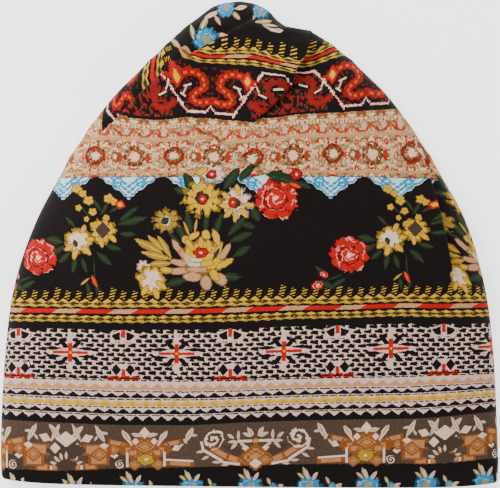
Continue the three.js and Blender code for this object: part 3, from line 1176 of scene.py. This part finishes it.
ink = print_over(ink, INKS["black"], (form > OUTLINE) * is_outlined * 0.66)
dark_ring = form.within(0.34, 0.46) * swirl * (kind > 2.5)
ink = print_over(ink, inner, (form < heart) * (dark_ring < 0.5))
motif_print.links.new(print_over(below, ink, covers).socket, sink.inputs[0])
print("motif group has", len(motif_print.nodes), "nodes")

# %% [markdown]
# The regular bands run right round the hat, so they are drawn from the print map alone.
# Each band is a stripe of the map's height with a repeat along it. A little noise bends
# the map first, so that lines look stitched and printed by hand instead of ruled.

# %% The printed bands group
MAP_BREAK = HEM_BAND
LINING_SHIFT = 465.0
BRAID_STARTS = (50.0, 298.0)
WOBBLE_SCALE, WOBBLE_REACH = 0.45, 1.6

band_print, (along_in, down_in), sink = new_group(
    "Print bands", [("Along", "NodeSocketFloat"), ("Down", "NodeSocketFloat")],
    [("Colour", "NodeSocketColor")])
noise_place = band_print.nodes.new("ShaderNodeCombineXYZ")
feed(band_print, noise_place.inputs[0], along_in)
feed(band_print, noise_place.inputs[1], down_in)
wobble = band_print.nodes.new("ShaderNodeTexNoise")
wobble.noise_dimensions = "2D"
wobble.inputs["Scale"].default_value = WOBBLE_SCALE
wobble.inputs["Detail"].default_value = 1.0
band_print.links.new(noise_place.outputs[0], wobble.inputs["Vector"])
bend_u, bend_v, grain = split(Value(band_print, wobble.outputs["Color"]))
u = bend_u.math("MULTIPLY_ADD", WOBBLE_REACH, along_in)
v = bend_v.math("MULTIPLY_ADD", WOBBLE_REACH, down_in) - WOBBLE_REACH / 2
v = v - (v > MAP_BREAK) * LINING_SHIFT
print("the map is bent by up to", WOBBLE_REACH / 2, "units")

# %% [markdown]
# The upper field and the field above the lattice each hold a braid: two cords of yellow wool
# with a red and tan rope between them. A cord is a stripe with dark beans in it and a ragged
# edge, and clusters of slanting dashes stand on it. Everything is drawn in the order in which
# it would be printed, the ground first.

# %% The braids
UPPER_BRAID_END = 180.0
BRAID_GAP = BRAID_STARTS[1] - BRAID_STARTS[0]
CLUSTER, TALL_CLUSTER = 11.1, 55.5
ROPE_PERIOD, ROPE_TAN, ROPE_START = 56.0, 23.0, 22.0


def cord(colour, middle, half_height, bean_period, ragged):
    """A yellow cord with dark beans in it, and a ragged upper edge."""
    body = (w > (u.swing(CLUSTER) - 2.4) * ragged + (middle - half_height))
    body = body & (w < (u.swing(bean_period) - 3.0) * -0.22 + (middle + half_height))
    colour = print_over(colour, INKS["yellow"], body)
    bean = u.swing(bean_period, 3.0) * 0.19 + (w - middle).math("ABSOLUTE") * 0.56
    colour = print_over(colour, INKS["gold"], body & (w > middle + half_height * 0.66))
    colour = print_over(colour, INKS["gold"], bean < 1.5)
    return print_over(colour, INKS["black"], (bean < 1.2) * (grain < 0.66) * 0.9)


w = v - (v > UPPER_BRAID_END) * BRAID_GAP - BRAID_STARTS[0]
level = down_in - (down_in > UPPER_BRAID_END) * BRAID_GAP - BRAID_STARTS[0]
leaning = along_in + level * 0.25
dashes = (level + leaning.every(CLUSTER) * 0.28).every(2.9) < 1.05
cluster = level.within(-8.4, -0.5) * (leaning.every(CLUSTER) < 4.9)
tall_cluster = level.within(-11.4, -0.5) * (leaning.every(TALL_CLUSTER) < 5.2)
colour = print_over(INKS["black"], INKS["yellow"], (cluster | tall_cluster) * dashes)
colour = cord(colour, 4.3, 3.6, 12.4, 0.7)
colour = cord(colour, 20.3, 3.2, 11.2, 0.3)
rope = w.within(9.9, 14.5)
colour = print_over(colour, INKS["red"], rope)
tan_part = (u + w * 1.6).every(ROPE_PERIOD, ROPE_START) < ROPE_TAN
colour = print_over(colour, INKS["tan"], rope * tan_part)
print("braids drawn at", BRAID_STARTS, "units down")

# %% [markdown]
# Under the upper braid lies the black band of hooks. The hooks themselves are free motifs. So
# only the rest is drawn here: the pale line of cross-stitches that winds between them, and
# the loose red and green stitches on both sides of it. The map is snapped to whole stitches
# before the wave is worked out, and that turns a smooth line into steps without a gap.

# %% The band of hooks
HOOKS_AXIS, HOOKS_MIDDLE = 288.0, 94.0
WAVE_HEIGHT, WAVE_FOOT, WAVE_ROOF = 30.0, -18.5, 15.0
NOTCH_SLOPE, NOTCH_DEPTH = -1.3, 6.0
CROSS_STITCH, SCATTER_STITCH = 1.6, 1.8

stitch_u, stitch_v = u.math("SNAP", CROSS_STITCH), v.math("SNAP", CROSS_STITCH)
crest = ((stitch_u - HOOKS_AXIS) * (2 * math.pi / HOOKS_REPEAT)).math("COSINE")
wave = (crest * WAVE_HEIGHT).math("MAXIMUM", WAVE_FOOT).math("MINIMUM", WAVE_ROOF)
notch = stitch_u.swing(HOOKS_REPEAT / 2, HOOKS_AXIS) * NOTCH_SLOPE + NOTCH_DEPTH
wave = notch.math("MAXIMUM", 0.0) * crest - wave + HOOKS_MIDDLE
hooks_field = v.within(78, 115)
scatter = band_print.nodes.new("ShaderNodeTexWhiteNoise")
scatter.noise_dimensions = "2D"
scatter_place = band_print.nodes.new("ShaderNodeCombineXYZ")
feed(band_print, scatter_place.inputs[0], u.swing(HOOKS_REPEAT, HOOKS_AXIS).math("SNAP", SCATTER_STITCH))
feed(band_print, scatter_place.inputs[1], v.math("SNAP", SCATTER_STITCH))
band_print.links.new(scatter_place.outputs[0], scatter.inputs["Vector"])
chance = Value(band_print, scatter.outputs["Value"])
below_wave = hooks_field * ((v - wave) > 3.0) * (crest > 0.0)
above_wave = hooks_field * (v < wave) * (crest < 0.0)
colour = print_over(colour, INKS["wine"], below_wave * (chance > 0.70))
colour = print_over(colour, INKS["green"], below_wave * (chance < 0.12))
colour = print_over(colour, INKS["wine"], above_wave * (chance > 0.82) * 0.6)
line_half = crest.within(-0.62, 0.5) * 0.45 + 0.85
line = (stitch_v - wave).math("ABSOLUTE") < line_half
colour = print_over(colour, INKS["blush"], v.within(74, 116) * line)
print("hooks repeat every", HOOKS_REPEAT, "units")

# %% [markdown]
# The lace is a net of small cells, which could be modelled thread by thread but is only
# printed on the real hat. A Voronoi texture gives the cells: a pale middle, a brown rim, and
# rust between them. Noise curls the map first, because knotted thread is never regular, and
# the map is mirrored about the rosettes, so that each stands in a frame of its own.

# %% The lace
LACE_TOP, LACE_BOTTOM, LACE_ROW, LACE_AXIS = 117.4, 178.0, 140.0, 158.0
LACE_CURL, LACE_STRAY, LACE_CELLS = 11.0, 0.16, 0.27

is_lower_row = v > LACE_ROW
floret_u, medallion_u = u.swing(LACE_REPEAT / 4), u.swing(LACE_REPEAT, LACE_REPEAT / 4)
lace_place = band_print.nodes.new("ShaderNodeCombineXYZ")
feed(band_print, lace_place.inputs[0], is_lower_row * (medallion_u - floret_u) + floret_u)
feed(band_print, lace_place.inputs[1], is_lower_row * ((v - LACE_AXIS).math("ABSOLUTE") - v) + v)
stray = band_print.nodes.new("ShaderNodeTexNoise")
stray.noise_dimensions = "2D"
stray.inputs["Scale"].default_value = LACE_STRAY
stray.inputs["Detail"].default_value = 1.0
band_print.links.new(lace_place.outputs[0], stray.inputs["Vector"])
curled = band_print.nodes.new("ShaderNodeVectorMath")
curled.operation = "MULTIPLY_ADD"
band_print.links.new(stray.outputs["Color"], curled.inputs[0])
curled.inputs[1].default_value = (LACE_CURL, LACE_CURL, 0.0)
band_print.links.new(lace_place.outputs[0], curled.inputs[2])
cells = band_print.nodes.new("ShaderNodeTexVoronoi")
cells.voronoi_dimensions = "2D"
cells.inputs["Scale"].default_value = LACE_CELLS
band_print.links.new(curled.outputs[0], cells.inputs["Vector"])
petal = Value(band_print, cells.outputs["Distance"])
choice, second, _ = split(Value(band_print, cells.outputs["Color"]))
curl, blush, _ = split(Value(band_print, stray.outputs["Color"]))
lace = print_over(INKS["tan"], INKS["rust"], (petal > 0.53) | (curl < 0.33))
lace = print_over(lace, INKS["khaki"], (choice > 0.80) * (petal > 0.25))
lace = print_over(lace, INKS["red"], (blush > 0.63) * (petal > 0.38))
lace = print_over(lace, INKS["ivory"], (petal < 0.32) * (choice < 0.84))
lace = print_over(lace, INKS["brown"], petal.within(0.32, 0.40) * (second > 0.35) * 0.7)
plain_lines = v.within(137.4, 140.4) | v.within(171.6, 174.0)
lace = print_over(lace, INKS["tan"], plain_lines)
colour = print_over(colour, lace, v.within(LACE_TOP, LACE_BOTTOM))
print("lace drawn from", LACE_TOP, "to", LACE_BOTTOM, "units down")

# %% [markdown]
# Under the lace hang white scallops with turquoise strokes. The distance from a scallop's tip
# gives its lower edge, and strokes that keep to this edge look like the draped rows of lace.
# A ring on each side of the tip is the curl that such strokes end in.

# %% The scallops
SCALLOP_PERIOD, SCALLOP_START = 66.0, 66.0
SCALLOP_TIP, SCALLOP_SLOPE, SCALLOP_TOOTH = 197.6, -0.70, 9.0
CURL_ACROSS, CURL_DOWN = 11.5, 183.0

tip = u.swing(SCALLOP_PERIOD, SCALLOP_START)
drape = tip * SCALLOP_SLOPE + tip.swing(SCALLOP_TOOTH) * 0.5 + (tip < 2.0) * 2.2 + SCALLOP_TIP
scallop = v.within(LACE_BOTTOM, 204) * (v < drape)
arc = drape - v + bend_u * 3.0
across_curl, down_curl = tip - CURL_ACROSS, v - CURL_DOWN
curl = (across_curl * across_curl + down_curl * down_curl).math("SQRT") + bend_u * 2.4
arcs = arc.within(2.2, 4.4) | (arc.within(7.2, 9.8) * (tip < 19)) | (arc.within(12.8, 15.4) * (tip < 8))
curls = (curl < 1.6) | curl.within(4.2, 6.4) * (tip > 7)
colour = print_over(colour, INKS["black"], v.within(177.4, 180.0))
colour = print_over(colour, INKS["frost"], scallop)
colour = print_over(colour, INKS["sky"], scallop * arc.within(9.8, 11.4))
colour = print_over(colour, INKS["blue"], scallop * (arcs | curls))
print("scallops hang every", SCALLOP_PERIOD, "units")

# %% [markdown]
# The lattice below the posies is white cloth strewn with black commas, which lie in rows like
# bricks. Noise makes them thick and thin. Red crosses with a yellow eye lie over them, and
# midway between two crosses stand a roofed figure at the top and a foot at the bottom.

# %% The lattice
CROSS_PERIOD, CROSS_START, CROSS_MIDDLE = 105.3, 73.5, 352.0
LATTICE_TOP, LATTICE_BOTTOM = 329, 379
COMMA_ROW, COMMA_SPACING, COMMA_SHIFT = 4.5, 10.5, 0.52

lattice = v.within(LATTICE_TOP, LATTICE_BOTTOM)
comma_row = (v * (1 / COMMA_ROW)).math("FLOOR")
comma_u = (u + comma_row * (COMMA_SPACING * COMMA_SHIFT)).every(COMMA_SPACING)
comma_half = comma_u * 0.16 + bend_v * 1.6 + 0.35
comma = (v.every(COMMA_ROW) - COMMA_ROW / 2).math("ABSOLUTE") < comma_half
comma = comma * (comma_u < bend_u * 5.0 + 5.4)
colour = print_over(colour, INKS["white"], lattice)
colour = print_over(colour, INKS["black"], lattice * comma)
cross_u = u.swing(CROSS_PERIOD, CROSS_START)
cross_v = (v - CROSS_MIDDLE).math("ABSOLUTE")
foot_u = u.swing(CROSS_PERIOD, CROSS_START + CROSS_PERIOD / 2)
colour = print_over(colour, INKS["white"], (cross_u * 0.040 + cross_v * 0.080) < 1.0)
colour = print_over(colour, INKS["white"], lattice * (cross_u < 2.4) * (cross_v < 19))
wedge = ((cross_u - cross_v * 0.8).math("ABSOLUTE") < 2.9) * cross_v.within(4.2, 12.5)
eye = (((cross_u - 17).math("ABSOLUTE") * 0.09) + ((cross_v - 3.9).math("ABSOLUTE") * 0.5)) < 1.0
colour = print_over(colour, INKS["black"], wedge | eye)
upright, crossbar = (cross_u < 2.2) * cross_v.within(0.8, 9.4), (cross_v < 1.35) * (cross_u < 17.5)
colour = print_over(colour, INKS["red"], upright | crossbar)
colour = print_over(colour, INKS["yellow"], (cross_u < 1.1) * (cross_v < 1.0))
colour = print_over(colour, INKS["black"], v.within(328, 331.4) * foot_u.within(11, 26))
eaves = v.within(328.6, 341) * (v > foot_u * 0.3 + 328.4)
colour = print_over(colour, INKS["white"], eaves * (foot_u < 12.6))
roof = v.within(LATTICE_TOP, 339.0) * (v > foot_u * 0.36 + 329.6) * (foot_u + v < 346.5)
colour = print_over(colour, INKS["black"], roof * foot_u.within(3.0, 11.2))
colour = print_over(colour, INKS["red"], v.within(328.8, 336.4) * (foot_u < 2.0))
colour = print_over(colour, INKS["white"], v.within(362.4, 374) * (foot_u < 11.4))
hoof = (foot_u - 7.0).math("ABSOLUTE") * 0.20 + (v - 368.2).math("ABSOLUTE") * 0.17
colour = print_over(colour, INKS["black"], hoof < 1.0)
foot, sole = v.within(367.6, 374.2) * (foot_u < 1.9), v.within(374.8, 378) * foot_u.within(0.8, 16)
colour = print_over(colour, INKS["red"], foot | sole)
print("crosses lie every", CROSS_PERIOD, "units")

# %% [markdown]
# Under the lattice run rows of stitches. They are charted like the motifs, from the top down.
# A line is a stripe with a gap in each period, and points stand on a line with sloping
# sides. The ground of the last band is brown, and the hem stays black.

# %% The stitched rows
ROWS_TOP, ROWS_BOTTOM = 378.6, 412.8
BROWN_TOP, BROWN_BOTTOM = 421.4, 465.4
STITCHED_ROWS = """
kind ink top bottom period gap slope
line black 375.8 377.0 11.0 1.6 0
line black 378.0 379.2 8.3 2.2 0
points tan 381.6 387.8 12.3 0 0.70
line black 388.6 389.8 12.7 2.0 0
points black 390.4 395.4 12.7 0 0.58
line black 396.2 397.3 9.1 1.4 0
points yellow 397.6 403.2 13.5 0 0.42
points amber 400.2 403.2 13.5 0 0.9
line black 403.8 404.9 6.3 1.8 0
points black 405.6 410.8 12.6 0 0.58
line black 411.4 412.5 12.6 2.4 0
"""

colour = print_over(colour, INKS["white"], v.within(ROWS_TOP, ROWS_BOTTOM))
for entry in read_chart(STITCHED_ROWS):
    if entry["kind"] == "line":
        stitches = u.every(entry["period"]) > entry["gap"]
    else:
        stitches = v > u.swing(entry["period"]) * entry["slope"] + entry["top"]
    colour = print_over(colour, INKS[entry["ink"]], v.within(entry["top"], entry["bottom"]) * stitches)
last_points = v.within(412.5, 417.4) * (v < u.swing(12.6, 6.3) * -0.75 + 417.2)
colour = print_over(colour, INKS["white"], last_points)
brown_band = v.within(BROWN_TOP, BROWN_BOTTOM)
colour = print_over(colour, INKS["brown"], brown_band)
colour = print_over(colour, INKS["taupe"], brown_band * (grain > 0.5) * 0.6)
band_print.links.new(colour.socket, sink.inputs[0])
print("bands group has", len(band_print.nodes), "nodes")

# %% [markdown]
# The cloth itself is a fine, brushed jersey. Its stitches are too small for a mesh, so
# they are a bump along the print map: narrow columns of tiny waves. A faint speckle
# makes the ink sit unevenly on them, as it does on real knitwear.

# %% The jersey group
STITCH_WIDTH, STITCH_HEIGHT = 1.3, 1.0
FUZZ_SCALE = 900.0

jersey, (along_in, down_in, colour_in), sink = new_group(
    "Jersey knit",
    [("Along", "NodeSocketFloat"), ("Down", "NodeSocketFloat"), ("Colour", "NodeSocketColor")],
    [("Colour", "NodeSocketColor"), ("Height", "NodeSocketFloat")])
wale = (along_in * (2 * math.pi / STITCH_WIDTH)).math("SINE").math("ABSOLUTE")
loops = ((down_in + wale * 0.5) * (2 * math.pi / STITCH_HEIGHT)).math("SINE")
height_value = wale * 0.7 + loops * 0.3
object_place = jersey.nodes.new("ShaderNodeTexCoord")
fuzz = jersey.nodes.new("ShaderNodeTexNoise")
fuzz.inputs["Scale"].default_value = FUZZ_SCALE
fuzz.inputs["Detail"].default_value = 2.0
jersey.links.new(object_place.outputs["Object"], fuzz.inputs["Vector"])
speckle = Value(jersey, fuzz.outputs["Fac"])
inked = print_over(colour_in, INKS["black"], (speckle - 0.45).math("MULTIPLY", 0.9, clamp=True))
inked = print_over(inked, INKS["cream"], (speckle - 0.55).math("MULTIPLY", 0.03, clamp=True))
jersey.links.new(inked.socket, sink.inputs[0])
jersey.links.new((height_value + speckle * 0.8).socket, sink.inputs[1])
print("jersey group has", len(jersey.nodes), "nodes")

# %% [markdown]
# The printed jersey puts it all together: the bands, then the seven layers of motifs over
# them, then the knit. Cotton jersey has no gloss, only a faint pale sheen at its edges.

# %% The printed jersey
STITCH_RELIEF = 0.00012
UNRULY_SCALE, UNRULY_REACH = 0.24, 0.40

material = bpy.data.materials.new("printed_jersey")
material.use_nodes = True
tree = material.node_tree
shader = tree.nodes["Principled BSDF"]
shader.inputs["Roughness"].default_value = 0.86
shader.inputs["Specular IOR Level"].default_value = 0.07
shader.inputs["Sheen Weight"].default_value = 0.02
shader.inputs["Sheen Roughness"].default_value = 0.5

map_node = tree.nodes.new("ShaderNodeUVMap")
map_node.uv_map = "print"
along_value, down_value, _ = split(Value(tree, map_node.outputs[0]))
along_value, down_value = along_value * (1 / MAP_UNIT), down_value * (1 / MAP_UNIT)
(printed,) = place_group(tree, band_print, along_value, down_value)
unruly = tree.nodes.new("ShaderNodeTexNoise")
unruly.noise_dimensions = "2D"
unruly.inputs["Scale"].default_value = UNRULY_SCALE / MAP_UNIT
unruly.inputs["Detail"].default_value = 1.0
tree.links.new(map_node.outputs[0], unruly.inputs["Vector"])
stray_bend = tree.nodes.new("ShaderNodeVectorMath")
stray_bend.operation = "MULTIPLY_ADD"
tree.links.new(unruly.outputs["Color"], stray_bend.inputs[0])
stray_bend.inputs[1].default_value = (UNRULY_REACH, UNRULY_REACH, 0.0)
stray_bend.inputs[2].default_value = (-UNRULY_REACH / 2, -UNRULY_REACH / 2, 0.0)
bend = Value(tree, stray_bend.outputs[0])
for number in range(LAYERS):
    layer = tree.nodes.new("ShaderNodeAttribute")
    layer.attribute_name = f"motif_{number}"
    spot = Value(tree, layer.outputs["Vector"])
    (printed,) = place_group(tree, motif_print, spot, bend, printed)
inked, relief = place_group(tree, jersey, along_value, down_value, printed)
bump = tree.nodes.new("ShaderNodeBump")
bump.inputs["Strength"].default_value = 0.35
bump.inputs["Distance"].default_value = STITCH_RELIEF
tree.links.new(relief.socket, bump.inputs["Height"])
tree.links.new(bump.outputs["Normal"], shader.inputs["Normal"])
tree.links.new(inked.socket, shader.inputs["Base Color"])
cloth_mesh.materials.append(material)
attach(hat, "root")
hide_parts("beanie_shell")
print("material nodes", len(tree.nodes), "and", len(motif_print.nodes) * LAYERS, "for the motifs")

# %% [markdown]
# The photograph's background is a plain white. So the hat lies on a pale floor that glows a
# little, like a light table, because light alone leaves paper grey beside dark cloth.

# %% The floor
FLOOR_SIZE, PAPER_GLOW = 3.0, 1.6

bm = bmesh.new()
bmesh.ops.create_grid(bm, x_segments=1, y_segments=1, size=FLOOR_SIZE)
floor_mesh = bpy.data.meshes.new("floor")
bm.to_mesh(floor_mesh)
bm.free()
floor = bpy.data.objects.new("floor", floor_mesh)
floor.location.z = float(low[2])
bpy.context.collection.objects.link(floor)
paper = bpy.data.materials.new("pale_paper")
paper.use_nodes = True
paper_shader = paper.node_tree.nodes["Principled BSDF"]
paper_shader.inputs["Base Color"].default_value = (0.86, 0.86, 0.86, 1.0)
paper_shader.inputs["Roughness"].default_value = 0.9
paper_shader.inputs["Emission Color"].default_value = (1.0, 1.0, 1.0, 1.0)
paper_shader.inputs["Emission Strength"].default_value = PAPER_GLOW
floor_mesh.materials.append(paper)
print("floor reaches", FLOOR_SIZE, "m each way")

# %% [markdown]
# The photograph's light is soft and even, and only the folds have a faint shadow. One large
# square light at the upper left gives them that, a weak one opposite fills it, and a white
# world lights what both of them miss.

# %% The lights
WORLD_LIGHT = 0.9
LIGHTS = [
    dict(name="window", place=(-1.1, 1.1, 1.2), size=1.2, power=62.0),
    dict(name="fill", place=(1.0, -0.7, 1.6), size=1.8, power=12.0),
]
for entry in LIGHTS:
    lamp = bpy.data.lights.new(entry["name"], "AREA")
    lamp.energy = entry["power"]
    lamp.size = entry["size"]
    holder = bpy.data.objects.new(entry["name"], lamp)
    holder.location = entry["place"]
    holder.rotation_euler = (-holder.location).to_track_quat("-Z", "Y").to_euler()
    bpy.context.collection.objects.link(holder)

world = bpy.data.worlds.new("studio")
world.use_nodes = True
sky_light = world.node_tree.nodes["Background"]
sky_light.inputs["Color"].default_value = (1.0, 1.0, 1.0, 1.0)
sky_light.inputs["Strength"].default_value = WORLD_LIGHT
bpy.context.scene.world = world
print("lights", [entry["name"] for entry in LIGHTS])

# %% [markdown]
# The photograph looks straight down, and so does the camera, from well above, because a near
# one would widen the front against the hem. Its lens is chosen so that the frame's width at
# the height of the side folds is the photograph's.

# %% The camera
PHOTO_WIDTH, FRAME_MIDDLE_X = 500, 250.0
CAMERA_HEIGHT = 1.6
SENSOR_WIDTH = 36.0

camera_data = bpy.data.cameras.new("camera")
camera = bpy.data.objects.new("camera", camera_data)
camera.location = ((FRAME_MIDDLE_X - CHART_MIDDLE[0]) * UNIT, 0.0, CAMERA_HEIGHT)
camera_data.sensor_width = SENSOR_WIDTH
camera_data.lens = SENSOR_WIDTH * (CAMERA_HEIGHT - SIDE_RADIUS) / (PHOTO_WIDTH * UNIT)
bpy.context.collection.objects.link(camera)
bpy.context.scene.camera = camera
print("lens", round(camera_data.lens, 1), "mm at", CAMERA_HEIGHT, "m")
